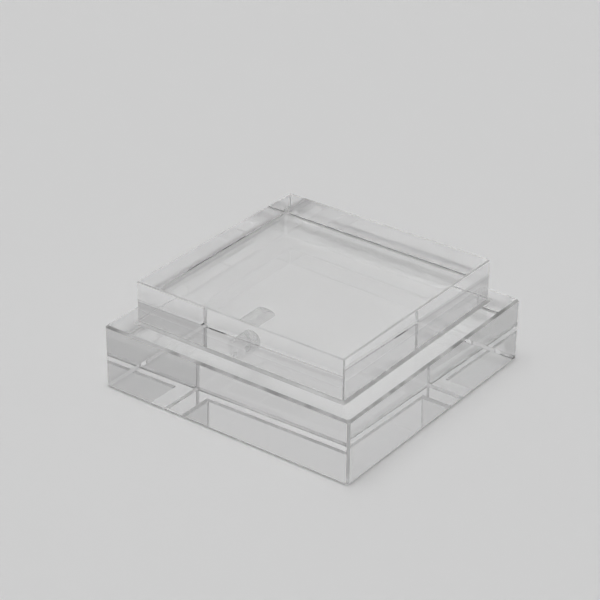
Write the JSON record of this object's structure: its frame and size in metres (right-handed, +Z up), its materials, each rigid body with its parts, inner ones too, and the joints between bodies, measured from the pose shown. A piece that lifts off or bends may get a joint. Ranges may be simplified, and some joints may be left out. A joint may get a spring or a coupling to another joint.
{
  "type": "two-tier optical counting block",
  "caption": "Clear two-tier square glass block: a smaller polished platform cemented on a larger base slab, with an even ledge all round and a plugged blind hole in one side.",
  "frame": {"origin": "centre of the resting face, on the surface that the block stands on", "axes": "+Z up through the centre of the platform; -Y towards the side with the plugged hole; X and Y square to the side faces"},
  "size_m": [0.076, 0.076, 0.03],
  "materials": {
    "base_glass": "polished",
    "platform_glass": "polished",
    "optical_cement": "clear cured",
    "plug_glass": "clear, with a faint grey veil where it was ground"
  },
  "bodies": {
    "root": {"base_block": "base_glass", "platform_block": "platform_glass", "bond_layer": "optical_cement", "hole_plug": "plug_glass"}
  },
  "joints": []
}
